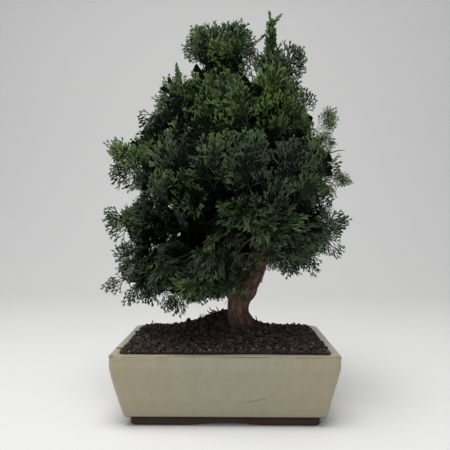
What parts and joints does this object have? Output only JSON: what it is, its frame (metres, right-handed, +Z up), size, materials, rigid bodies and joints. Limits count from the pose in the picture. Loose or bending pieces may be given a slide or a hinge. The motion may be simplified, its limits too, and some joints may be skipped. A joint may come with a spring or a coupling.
{
  "type": "false cypress bonsai in pot",
  "caption": "Small evergreen tree with a flared leaning trunk, boughs and dense fan-shaped foliage, planted in a low rectangular glazed pot on a recessed foot.",
  "frame": {"origin": "middle of the overall box at the level of the pot's underside", "axes": "+Z up through the tree, +X along the pot's long side, -Y towards the front of the plant"},
  "size_m": [0.3201, 0.2434, 0.4969],
  "materials": {
    "glaze": "satin gloss, cream to celadon",
    "soil": "loose bark crumbs and grit",
    "bark": "rough, stringy",
    "foliage": "soft, matt"
  },
  "bodies": {
    "root": {"pot": "glaze", "soil": "soil", "trunk": "bark", "low_left_bough": "bark", "low_left_front_bough": "bark", "low_middle_bough": "bark", "low_left_back_bough": "bark", "low_back_bough": "bark", "low_right_back_bough": "bark", "low_right_front_bough": "bark", "low_right_bough": "bark", "front_low_bough": "bark", "mid_left_low_bough": "bark", "mid_front_left_bough": "bark", "mid_back_left_bough": "bark", "mid_back_right_bough": "bark", "mid_front_right_bough": "bark", "mid_right_bough": "bark", "mid_left_bough": "bark", "mid_front_bough": "bark", "upper_front_bough": "bark", "upper_back_bough": "bark", "upper_right_bough": "bark", "upper_left_bough": "bark", "upper_front_right_bough": "bark", "top_right_bough": "bark", "top_left_bough": "bark", "top_spire_bough": "bark", "low_left": "foliage", "low_left_front": "foliage", "low_middle": "foliage", "low_left_back": "foliage", "low_back": "foliage", "low_right_back": "foliage", "low_right_front": "foliage", "low_right": "foliage", "front_low": "foliage", "mid_left_low": "foliage", "mid_front_left": "foliage", "mid_back_left": "foliage", "mid_back_right": "foliage", "mid_front_right": "foliage", "mid_right": "foliage", "mid_left": "foliage", "mid_front": "foliage", "upper_front": "foliage", "upper_back": "foliage", "upper_right": "foliage", "upper_left": "foliage", "upper_front_right": "foliage", "top_right": "foliage", "top_left": "foliage", "top_spire": "foliage", "top": "foliage"}
  },
  "joints": []
}
